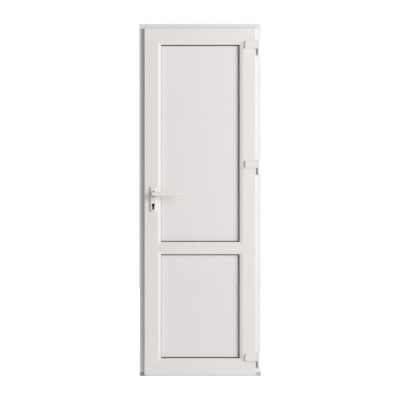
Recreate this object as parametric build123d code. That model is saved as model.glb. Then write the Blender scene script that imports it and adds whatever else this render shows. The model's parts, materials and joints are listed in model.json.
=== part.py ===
from build123d import *
import os

# A white uPVC door set: outer frame with a low aluminium threshold, and one leaf that opens inward.
# Millimetres. X runs along the width, Y through the wall, Z up. The inside face looks toward -Y.
# The origin is under the threshold, at the middle of the width and of the frame's depth.

# Outer frame
frame_width = 680.0
frame_height = 1970.0
frame_depth = 60.0
frame_web = 35.0
stop_reach = 20.0
stop_depth = 15.0
frame_edge_radius = 2.5
fixing_hole_diameter = 10.0
fixing_hole_spacing = 1300.0

# Threshold and its end blocks
end_block_height = 22.0
threshold_height = 16.0
threshold_front_bevel = 6.0
nose_bevel = 5.0
groove_width = 3.0
groove_depth = 2.0
groove_pitch = 8.0
groove_count = 3

# Leaf: a mitred sash of Z section with a mid rail
jamb_reveal = 27.0
head_reveal = 24.5
floor_clearance = 7.5
moving_gap = 5.0
sash_flange = 15.0
sash_face_width = 77.5
sash_rebate_gap = 12.0
sash_edge_radius = 4.5
sash_inner_edge_radius = 0.8
lip_depth = 14.0
bead_width = 16.0
mid_rail_height = 716.5
mid_rail_face = 37.5

# Panels, their gaskets and the beads that hold them
panel_thickness = 24.0
panel_edge_gap = 5.0
gasket_thickness = 4.0
gasket_show = 5.0
gasket_show_lock_side = 1.2
bead_set_back = 0.5
bead_flat = 1.0
bead_fall = 3.9
bead_nose_radius = 1.5

# Hinges
bottom_hinge_inset = 71.5
top_hinge_inset = 120.5
middle_hinge_share = 0.618
hinge_axis_reveal = 13.0
hinge_axis_stand = 1.0
barrel_radius = 8.0
flag_barrel_length = 48.0
base_barrel_length = 28.0
barrel_gap = 0.4
flag_width = 63.0
flag_height = 42.5
flag_lift = 5.0
flag_thickness = 8.0
flag_corner = 4.0
flag_bevel = 1.2
base_plate_thickness = 4.0
pin_diameter = 8.0
pin_clearance = 0.05
barrel_cap = 6.0

# Lever handles, backplates and lock
spindle_height = 1019.0
spindle_backset = 51.0
spindle_size = 8.0
spindle_hole_diameter = 14.0
backplate_width = 32.0
backplate_above = 39.0
backplate_below = 98.0
backplate_thickness = 9.0
backplate_corner = 8.0
backplate_bevel = 2.5
journal_diameter = 16.0
journal_length = 8.0
journal_clearance = 0.05
neck_diameter = 19.0
neck_gap = 0.5
lever_projection = 42.0
lever_depth = 12.0
lever_hub_height = 21.0
lever_tip_height = 18.0
lever_reach = 180.0
lever_edge = 4.0
socket_depth = 20.0
cylinder_drop = 62.0
cylinder_round = 18.0
cylinder_web = 11.0
cylinder_tall = 36.0
keyway_width = 2.0
keyway_height = 9.0
keyway_depth = 12.0
faceplate_width = 16.0
faceplate_thickness = 3.0
faceplate_above = 100.0
faceplate_below = 140.0
bolt_width = 12.0
bolt_depth = 18.0
latch_height = 24.0
latch_reach = 3.0
dead_bolt_height = 20.0
strike_thickness = 2.0
strike_width = 24.0
strike_margin = 10.0
strike_window_gap = 1.0

# Planes that follow from the sizes above
half_width = frame_width / 2
frame_inside = -frame_depth / 2
frame_outside = frame_depth / 2
stop_face = frame_outside - stop_depth
stop_edge = frame_web + stop_reach
leaf_half_width = half_width - jamb_reveal
leaf_top = frame_height - head_reveal
leaf_bottom = floor_clearance
flange_back = frame_inside - moving_gap
leaf_inside = flange_back - sash_flange
leaf_outside = stop_face - moving_gap
body_step = frame_web + sash_rebate_gap - jamb_reveal
lip_edge = sash_face_width + bead_width
lip_inside = leaf_outside - lip_depth
panel_outside = lip_inside - gasket_thickness
panel_inside = panel_outside - panel_thickness
bead_back = panel_inside - gasket_thickness
rebate_half_width = leaf_half_width - sash_face_width
rebate_top = leaf_top - sash_face_width
rebate_bottom = leaf_bottom + sash_face_width
mid_rail_top = mid_rail_height + mid_rail_face / 2
mid_rail_bottom = mid_rail_height - mid_rail_face / 2
bottom_hinge_height = leaf_bottom + bottom_hinge_inset
top_hinge_height = leaf_top - top_hinge_inset
hinge_span = top_hinge_height - bottom_hinge_height
middle_hinge_height = bottom_hinge_height + middle_hinge_share * hinge_span
hinge_x = leaf_half_width + hinge_axis_reveal
hinge_y = leaf_inside - hinge_axis_stand
spindle_x = -leaf_half_width + spindle_backset
lock_edge = -leaf_half_width + body_step
lock_middle = (flange_back + leaf_outside) / 2
leaf_middle = (leaf_inside + leaf_outside) / 2
plate_inside = leaf_inside - backplate_thickness
plate_outside = leaf_outside + backplate_thickness
cylinder_height = spindle_height - cylinder_drop
web_middle = (frame_inside + stop_face) / 2


def prism(points, sweep, radii=()):
    """Solid swept from a flat polygon of 3-D points along a vector; radii round its first corners in turn."""
    face = make_face(Polyline(*points, close=True)).face()
    for point, radius in zip(points, radii):
        if radius > 0:
            corner = face.vertices().sort_by_distance(point)[0]
            face = face.fillet_2d(radius, [corner])
    return extrude(face, amount=Vector(sweep).length, dir=sweep)


def upright(section, bottom, top, radii=()):
    """Solid of an (x, y) section between two heights."""
    return prism([(x, y, bottom) for x, y in section], (0, 0, top - bottom), radii)


def crossbar(section, left, right, radii=()):
    """Solid of a (y, z) section between two places along X."""
    return prism([(left, y, z) for y, z in section], (right - left, 0, 0), radii)


def slab(outline, inner, outer):
    """Solid of an (x, z) outline between two places along Y."""
    return prism([(x, inner, z) for x, z in outline], (0, outer - inner, 0))


def block(left, right, inner, outer, bottom, top):
    """Box between the given planes."""
    section = [(left, inner), (right, inner), (right, outer), (left, outer)]
    return upright(section, bottom, top)


def rod_y(x, z, diameter, inner, outer):
    """Round rod along Y."""
    middle = (inner + outer) / 2
    return Pos(x, middle, z) * Rot(90, 0, 0) * Cylinder(diameter / 2, outer - inner)


def rod_z(x, y, diameter, bottom, top):
    """Round rod along Z."""
    return Pos(x, y, (bottom + top) / 2) * Cylinder(diameter / 2, top - bottom)


def mitred_ring(section, half, bottom, top, radii=()):
    """Four bars of a (depth from the edge, y) section, mitred around a rectangle: left, right, top, bottom."""
    reach = max(depth for depth, y in section)
    near = min(y for depth, y in section)
    far = max(y for depth, y in section)
    left_cut = [(-half, bottom), (-half, top), (-half + reach, top - reach), (-half + reach, bottom + reach)]
    top_cut = [(-half, top), (half, top), (half - reach, top - reach), (-half + reach, top - reach)]
    bottom_cut = [(-half, bottom), (half, bottom), (half - reach, bottom + reach), (-half + reach, bottom + reach)]
    left_section = [(-half + depth, y) for depth, y in section]
    upper_section = [(y, top - depth) for depth, y in section]
    lower_section = [(y, bottom + depth) for depth, y in section]
    left = upright(left_section, bottom, top, radii) & slab(left_cut, near, far)
    upper = crossbar(upper_section, -half, half, radii) & slab(top_cut, near, far)
    lower = crossbar(lower_section, -half, half, radii) & slab(bottom_cut, near, far)
    return left, mirror(left, Plane.YZ), upper, lower


def gasket_ring(half, bottom, top, lock_margin, margin, inner, outer):
    """Flat ring inside a rectangle, with its own margin on the lock side."""
    whole = block(-half, half, inner, outer, bottom, top)
    return whole - block(-half + lock_margin, half - margin, inner, outer, bottom + margin, top - margin)


def save(node, solid):
    """Write one piece to its own file."""
    export_step(solid, f"parts/{node}.step")


os.makedirs("parts", exist_ok=True)

# Outer frame: two jambs and a head of one section, mitred at the top, standing on the end blocks
frame_section = [
    (0, frame_inside),
    (frame_web, frame_inside),
    (frame_web, stop_face),
    (stop_edge, stop_face),
    (stop_edge, frame_outside),
    (0, frame_outside),
]
frame_radii = [frame_edge_radius, frame_edge_radius]
left_bar, _, head, _ = mitred_ring(frame_section, half_width, -stop_edge, frame_height, frame_radii)
above_blocks = block(-half_width, half_width, frame_inside, frame_outside, end_block_height, frame_height)
left_jamb = left_bar & above_blocks
for side in (-1, 1):
    fixing_height = frame_height / 2 + side * fixing_hole_spacing / 2
    hole_start = Pos(-half_width + frame_web / 2, web_middle, fixing_height)
    left_jamb -= hole_start * Rot(0, 90, 0) * Cylinder(fixing_hole_diameter / 2, frame_web)
right_jamb = mirror(left_jamb, Plane.YZ)

# Threshold between two end blocks
left_end_block = upright([(-half_width + depth, y) for depth, y in frame_section], 0, end_block_height)
right_end_block = mirror(left_end_block, Plane.YZ)
threshold_section = [
    (frame_inside, 0),
    (frame_outside, 0),
    (frame_outside, end_block_height - nose_bevel),
    (frame_outside - nose_bevel, end_block_height),
    (stop_face, end_block_height),
    (stop_face, threshold_height),
    (frame_inside + threshold_front_bevel, threshold_height),
    (frame_inside, threshold_height - threshold_front_bevel),
]
threshold = crossbar(threshold_section, -half_width, half_width) - left_end_block - right_end_block
for count in range(groove_count):
    groove_y = web_middle + (count - (groove_count - 1) / 2) * groove_pitch
    groove_bottom = threshold_height - groove_depth
    threshold -= block(
        -half_width,
        half_width,
        groove_y - groove_width / 2,
        groove_y + groove_width / 2,
        groove_bottom,
        threshold_height,
    )

# Strike plate on the rebate of the lock jamb
strike_left = -half_width + frame_web
strike_plate = block(
    strike_left,
    strike_left + strike_thickness,
    lock_middle - strike_width / 2,
    lock_middle + strike_width / 2,
    cylinder_height - dead_bolt_height / 2 - strike_margin,
    spindle_height + latch_height / 2 + strike_margin,
)
window_half_width = bolt_width / 2 + strike_window_gap
for height, bolt_height in ((spindle_height, latch_height), (cylinder_height, dead_bolt_height)):
    window_half_height = bolt_height / 2 + strike_window_gap
    strike_plate -= block(
        strike_left,
        strike_left + strike_thickness,
        lock_middle - window_half_width,
        lock_middle + window_half_width,
        height - window_half_height,
        height + window_half_height,
    )

# Leaf: stiles and rails of one Z section, mitred at the corners
sash_section = [
    (0, leaf_inside),
    (sash_face_width, leaf_inside),
    (sash_face_width, lip_inside),
    (lip_edge, lip_inside),
    (lip_edge, leaf_outside),
    (body_step, leaf_outside),
    (body_step, flange_back),
    (0, flange_back),
]
sash_radii = [sash_edge_radius, sash_inner_edge_radius, 0, 0, sash_inner_edge_radius]
sash_bars = mitred_ring(sash_section, leaf_half_width, leaf_bottom, leaf_top, sash_radii)
lock_stile, hinge_stile, top_rail, bottom_rail = sash_bars
mid_web_section = [
    (leaf_inside, mid_rail_bottom),
    (leaf_inside, mid_rail_top),
    (lip_inside, mid_rail_top),
    (lip_inside, mid_rail_bottom),
]
mid_web_radii = [sash_inner_edge_radius, sash_inner_edge_radius]
mid_web = crossbar(mid_web_section, -rebate_half_width, rebate_half_width, mid_web_radii)
sight_half_width = rebate_half_width - bead_width
mid_lip = block(
    -sight_half_width,
    sight_half_width,
    lip_inside,
    leaf_outside,
    mid_rail_bottom - bead_width,
    mid_rail_top + bead_width,
)
mid_rail = mid_web + mid_lip

# Panels with a gasket on each face and four mitred beads each
bead_front = leaf_inside + bead_set_back
bead_section = [
    (0, bead_front),
    (bead_flat, bead_front),
    (bead_width, bead_front + bead_fall),
    (bead_width, bead_back),
    (0, bead_back),
]
bead_radii = [0, 0, bead_nose_radius]
gasket_margin = bead_width + gasket_show - panel_edge_gap
gasket_lock_margin = bead_width + gasket_show_lock_side - panel_edge_gap
panel_half_width = rebate_half_width - panel_edge_gap
for name, low, high in (("upper", mid_rail_top, rebate_top), ("lower", rebate_bottom, mid_rail_bottom)):
    panel_low = low + panel_edge_gap
    panel_high = high - panel_edge_gap
    save(
        f"{name}_panel",
        block(-panel_half_width, panel_half_width, panel_inside, panel_outside, panel_low, panel_high),
    )
    save(
        f"{name}_inner_gasket",
        gasket_ring(
            panel_half_width,
            panel_low,
            panel_high,
            gasket_lock_margin,
            gasket_margin,
            bead_back,
            panel_inside,
        ),
    )
    save(
        f"{name}_outer_gasket",
        gasket_ring(
            panel_half_width,
            panel_low,
            panel_high,
            gasket_lock_margin,
            gasket_margin,
            panel_outside,
            lip_inside,
        ),
    )
    beads = mitred_ring(bead_section, rebate_half_width, low, high, bead_radii)
    for place, bead in zip(("left", "right", "top", "bottom"), beads):
        save(f"{name}_{place}_bead", bead)

# Hinges: a base with its barrel and pin on the frame, and a flag with its barrel on the leaf
for name, height in (
    ("bottom", bottom_hinge_height),
    ("middle", middle_hinge_height),
    ("top", top_hinge_height),
):
    base_low = height - base_barrel_length
    base_high = height - barrel_gap / 2
    flag_low = height + barrel_gap / 2
    flag_high = height + flag_barrel_length
    base_left = leaf_half_width + moving_gap
    base_right = hinge_x + barrel_radius
    pin_high = flag_high - barrel_cap
    base_arm = block(base_left, base_right, hinge_y, frame_inside, base_low, base_high)
    base_plate = block(base_left, base_right, frame_inside - base_plate_thickness, frame_inside, base_low, flag_high)
    hinge_base = base_arm + base_plate + rod_z(hinge_x, hinge_y, 2 * barrel_radius, base_low, base_high)
    hinge_base -= rod_z(hinge_x, hinge_y, pin_diameter, base_low, base_high)
    save(f"{name}_hinge_base", hinge_base)
    save(f"{name}_hinge_pin", rod_z(hinge_x, hinge_y, pin_diameter, base_low, pin_high - barrel_gap))
    wing_low = height + flag_lift
    wing_left = leaf_half_width - flag_width
    wing_front = leaf_inside - flag_thickness
    wing = block(wing_left, hinge_x, wing_front, leaf_inside, wing_low, wing_low + flag_height)
    far_edges = wing.edges().filter_by(Axis.Y).group_by(Axis.X)[0]
    wing = fillet(far_edges, flag_corner)
    wing = chamfer(wing.faces().sort_by(Axis.Y)[0].edges(), flag_bevel)
    hinge_flag = wing + rod_z(hinge_x, hinge_y, 2 * barrel_radius, flag_low, flag_high)
    hinge_flag -= rod_z(hinge_x, hinge_y, pin_diameter + 2 * pin_clearance, flag_low, pin_high)
    save(f"{name}_hinge_flag", hinge_flag)

# Lock: faceplate, latch and dead bolt in the edge of the lock stile, and a double profile cylinder
faceplate = block(
    lock_edge,
    lock_edge + faceplate_thickness,
    lock_middle - faceplate_width / 2,
    lock_middle + faceplate_width / 2,
    spindle_height - faceplate_below,
    spindle_height + faceplate_above,
)
latch_bolt = block(
    lock_edge - latch_reach,
    lock_edge + bolt_depth,
    lock_middle - bolt_width / 2,
    lock_middle + bolt_width / 2,
    spindle_height - latch_height / 2,
    spindle_height + latch_height / 2,
)
dead_bolt = block(
    lock_edge,
    lock_edge + bolt_depth,
    lock_middle - bolt_width / 2,
    lock_middle + bolt_width / 2,
    cylinder_height - dead_bolt_height / 2,
    cylinder_height + dead_bolt_height / 2,
)
web_bottom = cylinder_height + cylinder_round / 2 - cylinder_tall
cylinder_round_part = rod_y(spindle_x, cylinder_height, cylinder_round, plate_inside, plate_outside)
cylinder_web_part = block(
    spindle_x - cylinder_web / 2,
    spindle_x + cylinder_web / 2,
    plate_inside,
    plate_outside,
    web_bottom + cylinder_web / 2,
    cylinder_height,
)
cylinder_foot = rod_y(spindle_x, web_bottom + cylinder_web / 2, cylinder_web, plate_inside, plate_outside)
cylinder_body = cylinder_round_part + cylinder_web_part + cylinder_foot
lock_stile = lock_stile - faceplate - latch_bolt - dead_bolt - cylinder_body
lock_stile -= rod_y(spindle_x, spindle_height, spindle_hole_diameter, leaf_inside, leaf_outside)
faceplate = faceplate - latch_bolt - dead_bolt
lock_cylinder = cylinder_body
for start in (plate_inside, plate_outside - keyway_depth):
    lock_cylinder -= block(
        spindle_x - keyway_width / 2,
        spindle_x + keyway_width / 2,
        start,
        start + keyway_depth,
        cylinder_height - keyway_height / 2,
        cylinder_height + keyway_height / 2,
    )

# Backplates on both faces of the lock stile
inner_backplate = block(
    spindle_x - backplate_width / 2,
    spindle_x + backplate_width / 2,
    plate_inside,
    leaf_inside,
    spindle_height - backplate_below,
    spindle_height + backplate_above,
)
inner_backplate = fillet(inner_backplate.edges().filter_by(Axis.Y), backplate_corner)
inner_backplate = chamfer(inner_backplate.faces().sort_by(Axis.Y)[0].edges(), backplate_bevel)
journal_bore = journal_diameter + 2 * journal_clearance
inner_backplate -= rod_y(spindle_x, spindle_height, journal_bore, plate_inside, leaf_inside)
inner_backplate -= cylinder_body
outer_backplate = mirror(inner_backplate, Plane.XZ.offset(-leaf_middle))

# Levers on one square spindle
lever_face = plate_inside - lever_projection
lever_back = lever_face + lever_depth
hub_half = lever_hub_height / 2
tip_half = lever_tip_height / 2
tip_x = spindle_x + lever_reach - tip_half
arm = slab(
    [
        (spindle_x, spindle_height - hub_half),
        (tip_x, spindle_height - tip_half),
        (tip_x, spindle_height + tip_half),
        (spindle_x, spindle_height + hub_half),
    ],
    lever_face,
    lever_back,
)
arm += rod_y(spindle_x, spindle_height, lever_hub_height, lever_face, lever_back)
arm += rod_y(tip_x, spindle_height, lever_tip_height, lever_face, lever_back)
arm = fillet(arm.faces().sort_by(Axis.Y)[0].edges(), lever_edge)
neck = rod_y(spindle_x, spindle_height, neck_diameter, lever_back, plate_inside - neck_gap)
journal = rod_y(spindle_x, spindle_height, journal_diameter, lever_back, plate_inside + journal_length)
spindle = block(
    spindle_x - spindle_size / 2,
    spindle_x + spindle_size / 2,
    plate_inside - socket_depth,
    plate_outside + socket_depth,
    spindle_height - spindle_size / 2,
    spindle_height + spindle_size / 2,
)
inner_lever = arm + neck + journal - spindle
outer_lever = mirror(inner_lever, Plane.XZ.offset(-leaf_middle))

save("left_jamb", left_jamb)
save("right_jamb", right_jamb)
save("head", head)
save("threshold", threshold)
save("left_end_block", left_end_block)
save("right_end_block", right_end_block)
save("strike_plate", strike_plate)
save("lock_stile", lock_stile)
save("hinge_stile", hinge_stile)
save("top_rail", top_rail)
save("bottom_rail", bottom_rail)
save("mid_rail", mid_rail)
save("lock_faceplate", faceplate)
save("latch_bolt", latch_bolt)
save("dead_bolt", dead_bolt)
save("lock_cylinder", lock_cylinder)
save("inner_backplate", inner_backplate)
save("outer_backplate", outer_backplate)
save("inner_lever", inner_lever)
save("outer_lever", outer_lever)
save("spindle", spindle)
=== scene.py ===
import json
import math

import bmesh
import bpy
import numpy as np
from bpy.props import FloatProperty, FloatVectorProperty, IntProperty, PointerProperty
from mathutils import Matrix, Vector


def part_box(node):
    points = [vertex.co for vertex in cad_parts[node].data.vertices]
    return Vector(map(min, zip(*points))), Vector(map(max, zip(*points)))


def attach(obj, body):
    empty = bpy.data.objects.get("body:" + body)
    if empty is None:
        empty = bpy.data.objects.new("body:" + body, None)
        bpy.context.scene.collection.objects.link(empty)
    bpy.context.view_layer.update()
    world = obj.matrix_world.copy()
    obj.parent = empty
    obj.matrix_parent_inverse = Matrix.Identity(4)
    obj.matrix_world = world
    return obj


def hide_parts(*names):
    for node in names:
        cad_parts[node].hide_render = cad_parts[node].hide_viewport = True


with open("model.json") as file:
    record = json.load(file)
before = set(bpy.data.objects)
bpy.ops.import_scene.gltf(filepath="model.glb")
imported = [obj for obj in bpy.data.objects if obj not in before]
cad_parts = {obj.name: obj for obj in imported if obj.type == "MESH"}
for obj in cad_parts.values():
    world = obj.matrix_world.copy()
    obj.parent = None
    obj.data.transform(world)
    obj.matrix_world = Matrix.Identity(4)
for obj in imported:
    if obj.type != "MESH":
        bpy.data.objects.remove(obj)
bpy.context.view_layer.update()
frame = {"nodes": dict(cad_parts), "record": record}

bl_info = {
    "name": "uPVC door dresser",
    "version": (1, 0, 0),
    "blender": (4, 5, 0),
    "location": "View3D > Sidebar > Door",
    "description": "Finishes a white uPVC door set: seals, seams, levers, hinge caps, screws and stage",
    "category": "Object",
}

MM = 0.001
HINGES = ("bottom", "middle", "top")
ALONG_X = np.array([1.0, 0.0, 0.0])
ALONG_Y = np.array([0.0, 1.0, 0.0])
ALONG_Z = np.array([0.0, 0.0, 1.0])
WHITE = (1.0, 1.0, 1.0, 1.0)
SENSOR_WIDTH = 36.0

# Variation in every finish: size of its clouds in metres, spread of its roughness and strength of its relief
CLOUD_SIZE = 0.35
GLOSS_SPREAD = 0.05
RELIEF_STRENGTH = 0.6

# Sockets of a colour mix, which have the same names as those of its other kinds
MIX_A = 6
MIX_B = 7
MIX_RESULT = 2

# Cross in a screw head: its slots in shares of the radius, its depth and the head's rim in shares of the dome
SLOT_HALF_WIDTH = 0.2
SLOT_HALF_LENGTH = 0.62
SLOT_WALL = 0.08
SLOT_END = 0.1
SLOT_DEPTH = 0.9
HEAD_CENTRE = 0.04
HEAD_RIM = 0.05


def linear(code):
    """Linear RGB of an sRGB hex colour."""
    srgb = np.array([int(code[i:i + 2], 16) for i in (1, 3, 5)]) / 255.0
    near_black = srgb / 12.92
    curve = ((srgb + 0.055) / 1.055) ** 2.4
    return tuple(float(c) for c in np.where(srgb <= 0.04045, near_black, curve))


def rgba(colour):
    """Colour with full alpha for a socket."""
    return (*colour, 1.0)


def low(node):
    """Lowest corner of a CAD node."""
    return np.array(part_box(node)[0])


def high(node):
    """Highest corner of a CAD node."""
    return np.array(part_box(node)[1])


def middle(node):
    """Middle of a CAD node's box."""
    return (low(node) + high(node)) / 2


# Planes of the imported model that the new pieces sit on
FRAME_HALF = float(high("right_jamb")[0])
FRAME_TOP = float(high("head")[2])
FRAME_INSIDE = float(low("head")[1])
FRAME_OUTSIDE = float(high("head")[1])
FRAME_FACE = 34 * MM
THRESHOLD_TOP = float(high("left_end_block")[2])
STOP_WIDTH = float(high("head")[2] - low("head")[2])
MOVING_GAP = 5 * MM
LEAF_HALF = float(high("hinge_stile")[0])
LEAF_TOP = float(high("top_rail")[2])
LEAF_BOTTOM = float(low("bottom_rail")[2])
LEAF_INSIDE = float(low("top_rail")[1])
LEAF_OUTSIDE = float(high("top_rail")[1])
SASH_WIDTH = float(LEAF_TOP - high("upper_top_bead")[2])
SASH_LIP = float(LEAF_TOP - low("top_rail")[2])
BODY_STEP = float(low("lock_faceplate")[0] + LEAF_HALF)
SPINDLE = middle("spindle")
LEVER_TIP = float(high("inner_lever")[0])
LEVER_FACE = float(low("inner_lever")[1])
PLATE_FACE = float(low("inner_backplate")[1])
PLATE_FACE_OUTSIDE = float(high("outer_backplate")[1])


class DoorFinish(bpy.types.PropertyGroup):
    """Colours of the door's materials."""

    upvc: FloatVectorProperty(
        name="uPVC", description="White of the extruded profiles",
        subtype="COLOR", default=linear("#EEEBE9"))
    panel: FloatVectorProperty(
        name="Panel skin", description="White of the infill panels",
        subtype="COLOR", default=linear("#EDEAE9"))
    coating: FloatVectorProperty(
        name="Powder coat", description="White of hinges and handles",
        subtype="COLOR", default=linear("#EEEBE9"))
    rubber: FloatVectorProperty(
        name="Rubber", description="Black of the gaskets and seals",
        subtype="COLOR", default=linear("#1A1B1C"))
    steel: FloatVectorProperty(
        name="Plated steel", description="Zinc plate of the lock parts",
        subtype="COLOR", default=linear("#B4B6B8"))
    aluminium: FloatVectorProperty(
        name="Aluminium", description="Anodised threshold",
        subtype="COLOR", default=linear("#C2C4C6"))
    nylon: FloatVectorProperty(
        name="Nylon", description="Grey of the threshold's end blocks",
        subtype="COLOR", default=linear("#C1BFBC"))
    # Black of the lever's bush, which also paints the shadow under the lever's hub
    bush_black_and_painted_shade: FloatVectorProperty(
        name="Black nylon", description="Bush round the lever's neck",
        subtype="COLOR", default=linear("#2A2B2C"))
    cylinder: FloatVectorProperty(
        name="Cylinder", description="Black of the lock cylinder",
        subtype="COLOR", default=linear("#161617"))


class DoorDetail(bpy.types.PropertyGroup):
    """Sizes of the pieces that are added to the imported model."""

    seal_width: FloatProperty(
        name="Seal width", description="Width of the rubber seals",
        unit="LENGTH", default=6 * MM)
    seal_height: FloatProperty(
        name="Seal height", description="How far a seal stands out",
        unit="LENGTH", default=4.5 * MM)
    seal_margin: FloatProperty(
        name="Seal margin", description="From a seal to the edge of what carries it",
        unit="LENGTH", default=1 * MM)
    weld_width: FloatProperty(
        name="Weld width", description="Width of a cleaned weld seam",
        unit="LENGTH", default=1.6 * MM)
    weld_height: FloatProperty(
        name="Weld height", description="How far a weld seam stands out",
        unit="LENGTH", default=0.12 * MM)
    weld_margin: FloatProperty(
        name="Weld margin", description="From a rounded corner to the start of its seam",
        unit="LENGTH", default=2 * MM)
    hub_radius: FloatProperty(
        name="Lever hub", description="Radius of the lever's end at the spindle",
        unit="LENGTH", default=11.5 * MM)
    tip_radius: FloatProperty(
        name="Lever tip", description="Radius of the lever's free end",
        unit="LENGTH", default=9 * MM)
    lever_edge: FloatProperty(
        name="Lever edge", description="Rounding of the arm's front edge",
        unit="LENGTH", default=3 * MM)
    lever_crown: FloatProperty(
        name="Lever crown", description="Rise of the arm's front face",
        unit="LENGTH", default=0.5 * MM)
    lever_depth: FloatProperty(
        name="Lever depth", description="Thickness of the lever's arm",
        unit="LENGTH", default=12 * MM)
    lever_bow: FloatProperty(
        name="Lever bow", description="How far the tip bends to the door",
        unit="LENGTH", default=3 * MM)
    neck_radius: FloatProperty(
        name="Lever neck", description="Radius of the lever's neck",
        unit="LENGTH", default=9.5 * MM)
    neck_waist: FloatProperty(
        name="Neck waist", description="How far the neck narrows",
        unit="LENGTH", default=1.2 * MM)
    neck_gap: FloatProperty(
        name="Neck gap", description="From the backplate to the neck",
        unit="LENGTH", default=0.5 * MM)
    # The bush's black rim that shows round the hub is partly the nylon ring and partly painted shade under
    # the lever
    bush_radius: FloatProperty(
        name="Bush", description="Radius of the nylon bush round the neck",
        unit="LENGTH", default=15 * MM)
    bush_thickness: FloatProperty(
        name="Bush thickness", description="How far the bush stands out",
        unit="LENGTH", default=1.2 * MM)
    bush_edge: FloatProperty(
        name="Bush edge", description="Rounding of the bush's edge",
        unit="LENGTH", default=0.6 * MM)
    bush_play: FloatProperty(
        name="Bush play", description="From the neck to the bush",
        unit="LENGTH", default=0.3 * MM)
    cap_height: FloatProperty(
        name="Hinge cap", description="Height of a hinge's end cap",
        unit="LENGTH", default=3.5 * MM)
    screw_radius: FloatProperty(
        name="Screw radius", description="Radius of a screw head",
        unit="LENGTH", default=3.6 * MM)
    screw_dome: FloatProperty(
        name="Screw dome", description="Height of a screw head",
        unit="LENGTH", default=0.9 * MM)
    plate_screw_drop: FloatProperty(
        name="Backplate screw", description="From the spindle down to the backplate's screw",
        unit="LENGTH", default=32 * MM)
    faceplate_screw_inset: FloatProperty(
        name="Faceplate screws", description="From the faceplate's ends to its screws",
        unit="LENGTH", default=14 * MM)
    strike_screw_inset: FloatProperty(
        name="Strike screws", description="From the strike plate's ends to its screws",
        unit="LENGTH", default=5.5 * MM)


class DoorStage(bpy.types.PropertyGroup):
    """Camera, light and floor."""

    distance: FloatProperty(
        name="Camera distance", description="From the frame's inside face",
        unit="LENGTH", default=7.0)
    shift: FloatProperty(
        name="Camera shift", description="From the door's middle to the camera, along X",
        unit="LENGTH", default=-1.3 * MM)
    span: FloatProperty(
        name="View width", description="Width of the view at the frame",
        unit="LENGTH", default=2.2386)
    key_power: FloatProperty(
        name="Key power", description="Power of the front lamp",
        unit="POWER", default=575.0)
    key_turn: FloatProperty(
        name="Key turn", description="Front lamp's angle from the view",
        subtype="ANGLE", default=math.radians(52))
    back_power: FloatProperty(
        name="Back power", description="Power of the rear lamp",
        unit="POWER", default=400.0)
    back_turn: FloatProperty(
        name="Back turn", description="Rear lamp's angle from the view",
        subtype="ANGLE", default=math.radians(212))
    lamp_rise: FloatProperty(
        name="Lamp rise", description="Lamps' angle above the horizon",
        subtype="ANGLE", default=math.radians(14))
    lamp_distance: FloatProperty(
        name="Lamp distance", description="Lamp to door",
        unit="LENGTH", default=8.0)
    lamp_width: FloatProperty(
        name="Lamp width", description="Width of a soft lamp",
        unit="LENGTH", default=4.5)
    lamp_height: FloatProperty(
        name="Lamp height", description="Height of a soft lamp",
        unit="LENGTH", default=4.5)
    fill: FloatProperty(
        name="Fill", description="Strength of the even light",
        default=0.2)
    floor_size: FloatProperty(
        name="Floor size", description="Side of the floor",
        unit="LENGTH", default=14.0)
    floor_cells: IntProperty(
        name="Floor cells", description="Cells along a side of the floor",
        default=8)
    floor_drop: FloatProperty(
        name="Floor drop", description="From the threshold's underside to the floor",
        unit="LENGTH", default=0.5 * MM)
    floor_paint: FloatVectorProperty(
        name="Floor paint", description="Colour of the floor",
        subtype="COLOR", default=linear("#F2F2F2"))
    floor_glow: FloatProperty(
        name="Floor glow", description="Light added to the floor where it is seen",
        default=0.85)


def add_node(tree, kind, inputs, **settings):
    """Add one node with its settings, and set or link its inputs by name or index."""
    node = tree.nodes.new(kind)
    for key, value in settings.items():
        setattr(node, key, value)
    for key, value in inputs.items():
        if isinstance(value, bpy.types.NodeSocket):
            tree.links.new(value, node.inputs[key])
        else:
            node.inputs[key].default_value = value
    return node


def surface_material(name, colour, roughness, grain_mm, relief_mm, tint, metallic=0.0, ior=1.5, coat=0.0):
    """Principled surface with relief, tint and gloss that vary over a grain of the given real size.

    grain_mm is the size of one grain along X, Y and Z, relief_mm its height, and tint how far the colour
    varies.
    """
    material = bpy.data.materials.new(name)
    material.use_nodes = True
    tree = material.node_tree
    tree.nodes.clear()
    place = add_node(tree, "ShaderNodeTexCoord", {}).outputs["Object"]
    grain_scale = [1.0 / (size * MM) for size in grain_mm]
    fine = add_node(tree, "ShaderNodeMapping", {"Vector": place, "Scale": grain_scale})
    grain = add_node(
        tree, "ShaderNodeTexNoise", {"Vector": fine.outputs["Vector"], "Scale": 1.0, "Detail": 3.0})
    cloud = add_node(tree, "ShaderNodeTexNoise", {"Vector": place, "Scale": 1.0 / CLOUD_SIZE, "Detail": 2.0})
    darker = tuple(c * (1.0 - tint) for c in colour)
    colours = add_node(tree, "ShaderNodeMix", {"Factor": cloud.outputs["Fac"]}, data_type="RGBA")
    colours.inputs[MIX_A].default_value = rgba(darker)
    colours.inputs[MIX_B].default_value = rgba(colour)
    gloss = add_node(tree, "ShaderNodeMapRange", {
        "Value": grain.outputs["Fac"],
        "To Min": roughness - GLOSS_SPREAD,
        "To Max": roughness + GLOSS_SPREAD,
    })
    bump = add_node(tree, "ShaderNodeBump", {
        "Height": grain.outputs["Fac"],
        "Strength": RELIEF_STRENGTH,
        "Distance": relief_mm * MM,
    })
    shader = add_node(tree, "ShaderNodeBsdfPrincipled", {
        "Base Color": colours.outputs[MIX_RESULT],
        "Roughness": gloss.outputs["Result"],
        "Normal": bump.outputs["Normal"],
        "Metallic": metallic,
        "IOR": ior,
        "Coat Weight": coat,
    })
    add_node(tree, "ShaderNodeOutputMaterial", {"Surface": shader.outputs["BSDF"]})
    return material


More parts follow.
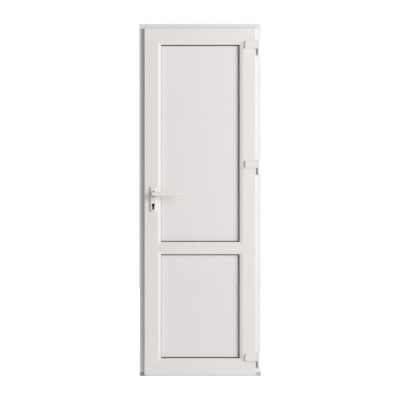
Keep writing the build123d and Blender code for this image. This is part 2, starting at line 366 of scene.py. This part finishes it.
def door_materials(finish):
    """The door's finishes by name."""
    return {
        # Extruded uPVC: smooth satin white, with faint die lines along the profile's length
        "upvc_upright": surface_material(
            "upvc_upright", finish.upvc, 0.36, (5.0, 5.0, 400.0), 0.03, 0.015, ior=1.53),
        "upvc_crossbar": surface_material(
            "upvc_crossbar", finish.upvc, 0.36, (400.0, 5.0, 5.0), 0.03, 0.015, ior=1.53),
        # Pressed panel skin: white sheet over foam, with a very low ripple
        "upvc_panel_skin": surface_material(
            "upvc_panel_skin", finish.panel, 0.42, (9.0, 9.0, 9.0), 0.04, 0.02, ior=1.53),
        # Powder coat on die-cast metal: bright white with an orange-peel ripple
        "white_powder_coat": surface_material(
            "white_powder_coat", finish.coating, 0.3, (1.8, 1.8, 1.8), 0.03, 0.01, coat=0.2),
        # EPDM rubber: black and dull, with a dusty bloom
        "epdm_rubber": surface_material(
            "epdm_rubber", finish.rubber, 0.68, (1.2, 1.2, 1.2), 0.06, 0.25),
        # Zinc-plated steel: grey metal with rolled streaks
        "zinc_plated_steel": surface_material(
            "zinc_plated_steel", finish.steel, 0.36, (1.0, 1.0, 40.0), 0.02, 0.12, metallic=1.0),
        # Anodised aluminium: pale satin metal with lines along the extrusion
        "anodised_aluminium": surface_material(
            "anodised_aluminium", finish.aluminium, 0.4, (300.0, 1.5, 1.5), 0.02, 0.08, metallic=1.0),
        # Moulded nylon: grey and slightly speckled
        "moulded_nylon": surface_material(
            "moulded_nylon", finish.nylon, 0.5, (0.9, 0.9, 0.9), 0.05, 0.08),
        # Black nylon: moulded bearing ring, dark and dull; its black rim round the neck is also painted
        # shade, standing in for the shadow under the lever's hub
        "black_nylon_and_painted_shade": surface_material(
            "black_nylon_and_painted_shade", finish.bush_black_and_painted_shade, 0.55, (0.9, 0.9, 0.9), 0.03, 0.15),
        # Blackened brass: dark satin metal
        "blackened_brass": surface_material(
            "blackened_brass", finish.cylinder, 0.45, (0.8, 0.8, 0.8), 0.03, 0.2, metallic=0.4),
    }


def finishes_of_nodes():
    """Finish of every CAD node, from its slot in the record and from the way its profile runs."""
    finish_of_slot = {
        "panel_skin": "upvc_panel_skin",
        "gasket_rubber": "epdm_rubber",
        "hinge_coating": "white_powder_coat",
        "handle_coating": "white_powder_coat",
        "plated_steel": "zinc_plated_steel",
        "threshold_aluminium": "anodised_aluminium",
        "end_block_plastic": "moulded_nylon",
        "dark_cylinder": "blackened_brass",
    }
    finishes = {}
    for entry in frame["record"]["subparts"]:
        node = entry["node"]
        size = high(node) - low(node)
        along = "upvc_upright" if size[2] > size[0] else "upvc_crossbar"
        finishes[node] = finish_of_slot.get(entry["material_slot"], along)
    return finishes


def tube(rings, closed_path=False):
    """Skin over rings of points, an array of shape (rings, points, 3).

    Quads join neighbouring rings, and an open path gets flat ends.
    """
    count, around = rings.shape[:2]
    index = np.arange(count * around).reshape(count, around)
    last = count if closed_path else count - 1
    here = index[:last]
    ahead = np.roll(index, -1, axis=0)[:last]
    quads = np.stack([here, np.roll(here, -1, axis=1), np.roll(ahead, -1, axis=1), ahead], axis=-1)
    ends = index[:0] if closed_path else index[[0, -1]]
    return rings.reshape(-1, 3), quads.reshape(-1, 4), ends


def make_piece(name, skins, body, material, crease=35.0):
    """One object from several skins, with faces turned outwards, riding on a body.

    Edges that turn by more than crease degrees stay sharp.
    """
    points = np.concatenate([skin_points for skin_points, quads, ends in skins])
    faces = []
    start = 0
    for skin_points, quads, ends in skins:
        faces += (quads + start).tolist() + (ends + start).tolist()
        start += len(skin_points)
    mesh = bpy.data.meshes.new(name)
    mesh.from_pydata(points.tolist(), [], faces)
    work = bmesh.new()
    work.from_mesh(mesh)
    bmesh.ops.recalc_face_normals(work, faces=work.faces)
    work.to_mesh(mesh)
    work.free()
    mesh.polygons.foreach_set("use_smooth", np.ones(len(mesh.polygons), dtype=bool))
    mesh.set_sharp_from_angle(angle=math.radians(crease))
    mesh.materials.append(material)
    piece = bpy.data.objects.new(name, mesh)
    bpy.context.scene.collection.objects.link(piece)
    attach(piece, body)
    return piece


def mitred_rings(section, half, bottom, top, closed):
    """Rings of a strip around a rectangle, mitred at its corners.

    A section point (inset, y) lies at x = side * (half - inset) and z = top - inset or bottom + inset.
    An open strip leaves out the bottom run, and is cut square at the bottom.
    """
    inset = section[:, 0]
    depth = section[:, 1]
    foot = bottom + inset if closed else np.full_like(inset, bottom)
    left_foot = np.stack([inset - half, depth, foot], axis=-1)
    left_head = np.stack([inset - half, depth, top - inset], axis=-1)
    right_head = left_head * (-1, 1, 1)
    right_foot = left_foot * (-1, 1, 1)
    return np.stack([left_foot, left_head, right_head, right_foot])


def bulb_section(inset, base, width, height, steps=12):
    """Closed D-shaped bulb: inset + width / 2 * cos(a) and base + height * sin(a) for a from 0 to pi."""
    angle = np.linspace(0.0, np.pi, steps)
    return np.stack([inset + width / 2 * np.cos(angle), base + height * np.sin(angle)], axis=-1)


def seam_rings(start, end, across, normal, width, height, steps=10):
    """Rings of a weld seam between two points: an ellipse of the given width, half of it sunk.

    A section point is across * width / 2 * cos(a) + normal * height * sin(a).
    """
    angle = np.linspace(0.0, 2 * np.pi, steps, endpoint=False)[:, None]
    section = across * (width / 2 * np.cos(angle)) + normal * (height * np.sin(angle))
    return np.stack([start + section, end + section])


def revolve_rings(profile, centre, across, up, normal, around=36):
    """Rings of a profile turned about an axis: a point (r, h) goes round at radius r and height h."""
    angle = np.linspace(0.0, 2 * np.pi, around, endpoint=False)
    spoke = np.cos(angle)[:, None] * across + np.sin(angle)[:, None] * up
    return np.array(centre) + profile[:, :1, None] * spoke + profile[:, 1:, None] * normal


def dome_profile(radius, height, covered=0.97, steps=8):
    """Part of a quarter ellipse: radius * cos(a) at height * sin(a).

    It covers the given share of the quarter turn, and a flat end closes the rest.
    """
    angle = np.linspace(0.0, np.pi / 2 * covered, steps)
    return np.stack([radius * np.cos(angle), height * np.sin(angle)], axis=-1)


def neck_profile(radius, waist, start, end, steps=12):
    """Round neck that narrows by waist * sin(pi * t) between its ends."""
    t = np.linspace(0.0, 1.0, steps)
    return np.stack([radius - waist * np.sin(np.pi * t), start + (end - start) * t], axis=-1)


def bush_profile(inner, outer, thickness, edge, steps=6):
    """Closed outline of a flat ring with a rounded outer edge, a quarter circle of radius edge."""
    angle = np.linspace(0.0, np.pi / 2, steps)
    rim_radius = outer - edge * (1 - np.cos(angle))
    rim_height = thickness - edge * (1 - np.sin(angle))
    rim = np.stack([rim_radius, rim_height], axis=-1)
    return np.concatenate([[[inner, 0.0], [outer, 0.0]], rim, [[inner, thickness]]])


def lever_edge_profile(back, front, back_edge, front_edge, crown, face_run=0.7, steps=8, face_steps=5):
    """(inset, out) points from the arm's back to its front: a quarter circle at each edge and a low crown.

    The crown rises by crown * t * (2 - t) while the inset grows by face_run * front_edge.
    """
    angle = np.linspace(0.0, np.pi / 2, steps)
    rear = np.stack([back_edge * (1 - np.sin(angle)), back + back_edge * (1 - np.cos(angle))], axis=-1)
    fore = np.stack([front_edge * (1 - np.cos(angle)), front - front_edge * (1 - np.sin(angle))], axis=-1)
    t = np.linspace(0.0, 1.0, face_steps)[1:]
    face = np.stack([front_edge * (1 + face_run * t), front + crown * t * (2 - t)], axis=-1)
    return np.concatenate([rear, fore, face])


def lever_arm_rings(detail, face, outward, around=28):
    """Rings of a lever's arm: one outline, inset along an edge profile.

    The outline is a half circle about the spindle and a smaller one at the tip, joined by straight sides.
    A ring has both radii less its inset. The arm bows towards the door by lever_bow * t * t along its length.
    """
    front = abs(LEVER_FACE - PLATE_FACE) - detail.lever_crown
    profile = lever_edge_profile(
        front - detail.lever_depth, front, detail.lever_edge / 2, detail.lever_edge, detail.lever_crown)
    tip_x = LEVER_TIP - detail.tip_radius
    turn = np.linspace(-np.pi / 2, np.pi / 2, around)
    at_tip = np.concatenate([np.ones(around), np.zeros(around)])
    cos = np.concatenate([np.cos(turn), -np.cos(turn)])
    sin = np.concatenate([np.sin(turn), -np.sin(turn)])
    radius = at_tip * detail.tip_radius + (1 - at_tip) * detail.hub_radius
    wide = radius - profile[:, :1]
    x = SPINDLE[0] + at_tip * (tip_x - SPINDLE[0]) + wide * cos
    z = SPINDLE[2] + wide * sin
    along = np.clip((x - SPINDLE[0]) / (LEVER_TIP - SPINDLE[0]), 0.0, 1.0)
    out = profile[:, 1:] - detail.lever_bow * along ** 2
    return np.stack([x, face + outward * out, z], axis=-1)


def slot_mask(along, beside):
    """1 in a slot of a screw head and 0 outside it, with soft walls and ends."""
    walls = np.clip((SLOT_HALF_WIDTH - np.abs(beside)) / SLOT_WALL, 0, 1)
    ends = np.clip((SLOT_HALF_LENGTH - np.abs(along)) / SLOT_END, 0, 1)
    return walls * ends


def screw_rings(centre, across, up, normal, radius, dome, rows=14, around=48):
    """Rings of a cross-head screw on a polar grid.

    The height is dome * (1 + rim - r * r), less a cross of two slots. The last ring is sunk in the seat.
    """
    r = np.linspace(HEAD_CENTRE, 1.0, rows)[:, None]
    angle = np.linspace(0.0, 2 * np.pi, around, endpoint=False)
    x = r * np.cos(angle)
    y = r * np.sin(angle)
    cross = np.maximum(slot_mask(x, y), slot_mask(y, x))
    top = dome * (1 + HEAD_RIM - r ** 2) - SLOT_DEPTH * dome * cross
    x = np.concatenate([x, x[-1:]])
    y = np.concatenate([y, y[-1:]])
    top = np.concatenate([top, np.full((1, around), -dome)])
    flat = x[..., None] * radius * across + y[..., None] * radius * up
    return np.array(centre) + flat + top[..., None] * normal


def picture_ray(tree):
    """Socket that is 1 for rays from the camera, off gloss and through clear matter, and 0 for the others."""
    ray = add_node(tree, "ShaderNodeLightPath", {})
    seen = add_node(
        tree, "ShaderNodeMath",
        {0: ray.outputs["Is Camera Ray"], 1: ray.outputs["Is Glossy Ray"]}, operation="MAXIMUM")
    seen_through = add_node(
        tree, "ShaderNodeMath",
        {0: seen.outputs[0], 1: ray.outputs["Is Transmission Ray"]}, operation="MAXIMUM")
    return seen_through.outputs[0]


class DOOR_OT_finishes(bpy.types.Operator):
    """Give every CAD node its finish"""

    bl_idname = "door.finishes"
    bl_label = "Finishes"

    def execute(self, context):
        materials = door_materials(context.scene.door_finish)
        for node, finish in finishes_of_nodes().items():
            frame["nodes"][node].material_slots[0].material = materials[finish]
        return {"FINISHED"}


class DOOR_OT_seals(bpy.types.Operator):
    """Add the rubber seals on the frame's stop and behind the leaf's flange"""

    bl_idname = "door.seals"
    bl_label = "Seals"

    def execute(self, context):
        detail = context.scene.door_detail
        rubber = bpy.data.materials["epdm_rubber"]
        edge_to_middle = detail.seal_width / 2 + detail.seal_margin
        stop_face = LEAF_OUTSIDE + MOVING_GAP
        stop = bulb_section(STOP_WIDTH - edge_to_middle, stop_face, detail.seal_width, -detail.seal_height)
        skin = tube(mitred_rings(stop, FRAME_HALF, THRESHOLD_TOP, FRAME_TOP, closed=False))
        make_piece("stop_seal", [skin], "frame", rubber)
        flange_back = FRAME_INSIDE - MOVING_GAP
        flange = bulb_section(edge_to_middle, flange_back, detail.seal_width, detail.seal_height)
        skin = tube(mitred_rings(flange, LEAF_HALF, LEAF_BOTTOM, LEAF_TOP, closed=True), closed_path=True)
        make_piece("flange_seal", [skin], "leaf", rubber)
        return {"FINISHED"}


class DOOR_OT_weld_seams(bpy.types.Operator):
    """Add the cleaned weld seams across the mitred corners"""

    bl_idname = "door.weld_seams"
    bl_label = "Weld seams"

    def execute(self, context):
        detail = context.scene.door_detail
        upvc = bpy.data.materials["upvc_crossbar"]
        leaf_faces = (
            (LEAF_INSIDE, -1.0, detail.weld_margin, SASH_WIDTH),
            (LEAF_OUTSIDE, 1.0, BODY_STEP, SASH_LIP),
        )
        frame_faces = (
            (FRAME_INSIDE, -1.0, detail.weld_margin, FRAME_FACE),
            (FRAME_OUTSIDE, 1.0, detail.weld_margin, STOP_WIDTH),
        )
        leaf_corners = ((-1, LEAF_TOP, -1), (1, LEAF_TOP, -1), (-1, LEAF_BOTTOM, 1), (1, LEAF_BOTTOM, 1))
        frame_corners = ((-1, FRAME_TOP, -1), (1, FRAME_TOP, -1))
        for body, half, corners, faces in (
            ("leaf", LEAF_HALF, leaf_corners, leaf_faces),
            ("frame", FRAME_HALF, frame_corners, frame_faces),
        ):
            skins = []
            for side, height, step in corners:
                for plane, out, near, far in faces:
                    run = np.array([-side, 0.0, step])
                    corner = np.array([side * half, plane, height])
                    across = np.array([side, 0.0, step]) / math.sqrt(2)
                    rings = seam_rings(
                        corner + run * near, corner + run * far, across, out * ALONG_Y,
                        detail.weld_width, detail.weld_height)
                    skins.append(tube(rings))
            make_piece(f"{body}_weld_seams", skins, body, upvc)
        return {"FINISHED"}


class DOOR_OT_levers(bpy.types.Operator):
    """Replace the plain levers by crowned ones on round necks, with black nylon bushes behind them whose rim
    is also painted shade under the hub
    """

    bl_idname = "door.levers"
    bl_label = "Levers"

    def execute(self, context):
        detail = context.scene.door_detail
        coat = bpy.data.materials["white_powder_coat"]
        black = bpy.data.materials["black_nylon_and_painted_shade"]
        reach = abs(LEVER_FACE - PLATE_FACE) - detail.lever_depth / 2
        neck = neck_profile(detail.neck_radius, detail.neck_waist, detail.neck_gap, reach)
        bush = bush_profile(
            detail.neck_radius + detail.bush_play, detail.bush_radius,
            detail.bush_thickness, detail.bush_edge)
        for name, face, outward in (("inner", PLATE_FACE, -1.0), ("outer", PLATE_FACE_OUTSIDE, 1.0)):
            seat = (SPINDLE[0], face, SPINDLE[2])
            normal = outward * ALONG_Y
            arm_skin = tube(lever_arm_rings(detail, face, outward))
            neck_skin = tube(revolve_rings(neck, seat, ALONG_X, ALONG_Z, normal))
            skins = [arm_skin, neck_skin]
            lever = make_piece(
                f"{name}_lever_arm", skins, "lever_handles", coat, crease=50.0)
            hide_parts(f"{name}_lever")
            # The black bush is a nylon ring and also painted shade under the lever's hub
            bush_skin = tube(revolve_rings(bush, seat, ALONG_X, ALONG_Z, normal), closed_path=True)
            make_piece(f"{name}_lever_bush_and_painted_shade", [bush_skin], "leaf", black)
        return {"FINISHED"}


class DOOR_OT_hinge_caps(bpy.types.Operator):
    """Add the domed caps on the ends of the hinge barrels"""

    bl_idname = "door.hinge_caps"
    bl_label = "Hinge caps"

    def execute(self, context):
        height = context.scene.door_detail.cap_height
        coat = bpy.data.materials["white_powder_coat"]
        flag_caps = []
        base_caps = []
        for place in HINGES:
            axis = middle(f"{place}_hinge_pin")
            radius = float(high(f"{place}_hinge_flag")[0] - axis[0])
            flag_top = high(f"{place}_hinge_flag")[2]
            base_bottom = low(f"{place}_hinge_base")[2]
            dome = dome_profile(radius, height)
            flag_seat = (axis[0], axis[1], flag_top)
            base_seat = (axis[0], axis[1], base_bottom)
            flag_caps.append(tube(revolve_rings(dome, flag_seat, ALONG_X, ALONG_Y, ALONG_Z)))
            base_caps.append(tube(revolve_rings(dome, base_seat, ALONG_X, ALONG_Y, -ALONG_Z)))
        make_piece("hinge_flag_caps", flag_caps, "leaf", coat)
        make_piece("hinge_base_caps", base_caps, "frame", coat)
        return {"FINISHED"}


class DOOR_OT_screws(bpy.types.Operator):
    """Add the screws of the backplate, the faceplate and the strike plate"""

    bl_idname = "door.screws"
    bl_label = "Screws"

    def execute(self, context):
        detail = context.scene.door_detail
        steel = bpy.data.materials["zinc_plated_steel"]
        coat = bpy.data.materials["white_powder_coat"]
        size = (detail.screw_radius, detail.screw_dome)
        plate_screw = (SPINDLE[0], PLATE_FACE, SPINDLE[2] - detail.plate_screw_drop)
        skin = tube(screw_rings(plate_screw, ALONG_X, ALONG_Z, -ALONG_Y, *size))
        make_piece("backplate_screw", [skin], "leaf", coat)
        for node, body, outward, inset in (
            ("lock_faceplate", "leaf", -1.0, detail.faceplate_screw_inset),
            ("strike_plate", "frame", 1.0, detail.strike_screw_inset),
        ):
            face = low(node)[0] if outward < 0 else high(node)[0]
            depth = middle(node)[1]
            seats = [(face, depth, low(node)[2] + inset), (face, depth, high(node)[2] - inset)]
            skins = [tube(screw_rings(seat, ALONG_Y, ALONG_Z, outward * ALONG_X, *size)) for seat in seats]
            make_piece(f"{node}_screws", skins, body, steel)
        return {"FINISHED"}


class DOOR_OT_stage(bpy.types.Operator):
    """Set the floor, the white surroundings, the soft lamps and the camera"""

    bl_idname = "door.stage"
    bl_label = "Stage"

    def execute(self, context):
        stage = context.scene.door_stage
        self.floor(context, stage)
        self.surroundings(context, stage)
        self.lamp(context, stage, "front_lamp", stage.key_power, stage.key_turn)
        self.lamp(context, stage, "rear_lamp", stage.back_power, stage.back_turn)
        self.camera(context, stage)
        context.scene.view_settings.view_transform = "Standard"
        return {"FINISHED"}

    def floor(self, context, stage):
        """Flat grid of the floor's size, lit and seen as almost plain white."""
        steps = np.linspace(-stage.floor_size / 2, stage.floor_size / 2, stage.floor_cells + 1)
        x, y = np.meshgrid(steps, steps, indexing="ij")
        points = np.stack([x, y, np.full_like(x, -stage.floor_drop)], axis=-1).reshape(-1, 3)
        index = np.arange(len(points)).reshape(len(steps), len(steps))
        quads = np.stack([index[:-1, :-1], index[1:, :-1], index[1:, 1:], index[:-1, 1:]], axis=-1)
        mesh = bpy.data.meshes.new("studio_floor")
        mesh.from_pydata(points.tolist(), [], quads.reshape(-1, 4).tolist())
        floor = bpy.data.objects.new("studio_floor", mesh)
        context.scene.collection.objects.link(floor)
        # Studio floor: matt white paint, with a glow for the rays that make the picture
        material = bpy.data.materials.new("studio_floor_paint")
        material.use_nodes = True
        tree = material.node_tree
        tree.nodes.clear()
        paint = add_node(tree, "ShaderNodeBsdfDiffuse", {"Color": rgba(stage.floor_paint)})
        glow = add_node(tree, "ShaderNodeEmission", {"Color": WHITE, "Strength": stage.floor_glow})
        both = add_node(tree, "ShaderNodeAddShader", {0: paint.outputs["BSDF"], 1: glow.outputs["Emission"]})
        mixed = add_node(
            tree, "ShaderNodeMixShader",
            {0: picture_ray(tree), 1: paint.outputs["BSDF"], 2: both.outputs["Shader"]})
        add_node(tree, "ShaderNodeOutputMaterial", {"Surface": mixed.outputs["Shader"]})
        mesh.materials.append(material)

    def surroundings(self, context, stage):
        """Even light on the door, and plain white behind it."""
        world = bpy.data.worlds.new("studio_white")
        context.scene.world = world
        world.use_nodes = True
        tree = world.node_tree
        tree.nodes.clear()
        light = add_node(tree, "ShaderNodeBackground", {"Color": WHITE, "Strength": stage.fill})
        white = add_node(tree, "ShaderNodeBackground", {"Color": WHITE, "Strength": 1.0})
        mixed = add_node(
            tree, "ShaderNodeMixShader",
            {0: picture_ray(tree), 1: light.outputs["Background"], 2: white.outputs["Background"]})
        add_node(tree, "ShaderNodeOutputWorld", {"Surface": mixed.outputs["Shader"]})

    def lamp(self, context, stage, name, power, turn):
        """Large soft lamp that faces the door's middle from the given angle."""
        data = bpy.data.lights.new(name, "AREA")
        data.energy = power
        data.shape = "RECTANGLE"
        data.size = stage.lamp_width
        data.size_y = stage.lamp_height
        lamp = bpy.data.objects.new(name, data)
        context.scene.collection.objects.link(lamp)
        flat = stage.lamp_distance * math.cos(stage.lamp_rise)
        rise = stage.lamp_distance * math.sin(stage.lamp_rise)
        lamp.location = (flat * math.sin(turn), -flat * math.cos(turn), FRAME_TOP / 2 + rise)
        lamp.rotation_euler = (math.pi / 2 - stage.lamp_rise, 0.0, turn)

    def camera(self, context, stage):
        """Level camera square to the door's inside face, at half its height."""
        data = bpy.data.cameras.new("camera")
        data.sensor_width = SENSOR_WIDTH
        data.lens = SENSOR_WIDTH * stage.distance / stage.span
        camera = bpy.data.objects.new("camera", data)
        context.scene.collection.objects.link(camera)
        camera.location = (stage.shift, FRAME_INSIDE - stage.distance, FRAME_TOP / 2)
        camera.rotation_euler = (math.pi / 2, 0.0, 0.0)
        context.scene.camera = camera


OPERATORS = (
    DOOR_OT_finishes,
    DOOR_OT_seals,
    DOOR_OT_weld_seams,
    DOOR_OT_levers,
    DOOR_OT_hinge_caps,
    DOOR_OT_screws,
    DOOR_OT_stage,
)


class DOOR_PT_panel(bpy.types.Panel):
    """Door dresser"""

    bl_idname = "DOOR_PT_panel"
    bl_label = "Door"
    bl_space_type = "VIEW_3D"
    bl_region_type = "UI"
    bl_category = "Door"

    def draw(self, context):
        for operator in OPERATORS:
            self.layout.operator(operator.bl_idname)
        for group in (context.scene.door_finish, context.scene.door_detail, context.scene.door_stage):
            box = self.layout.box()
            for key in group.__annotations__:
                box.prop(group, key)


CLASSES = (DoorFinish, DoorDetail, DoorStage, *OPERATORS, DOOR_PT_panel)


def register():
    """Register the classes and hang the properties on the scene."""
    for item in CLASSES:
        bpy.utils.register_class(item)
    bpy.types.Scene.door_finish = PointerProperty(type=DoorFinish)
    bpy.types.Scene.door_detail = PointerProperty(type=DoorDetail)
    bpy.types.Scene.door_stage = PointerProperty(type=DoorStage)


def unregister():
    """Take the properties off the scene and unregister the classes."""
    del bpy.types.Scene.door_stage
    del bpy.types.Scene.door_detail
    del bpy.types.Scene.door_finish
    for item in reversed(CLASSES):
        bpy.utils.unregister_class(item)


def main():
    """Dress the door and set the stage."""
    register()
    bpy.ops.door.finishes()
    bpy.ops.door.seals()
    bpy.ops.door.weld_seams()
    bpy.ops.door.levers()
    bpy.ops.door.hinge_caps()
    bpy.ops.door.screws()
    bpy.ops.door.stage()


if __name__ == "__main__":
    main()
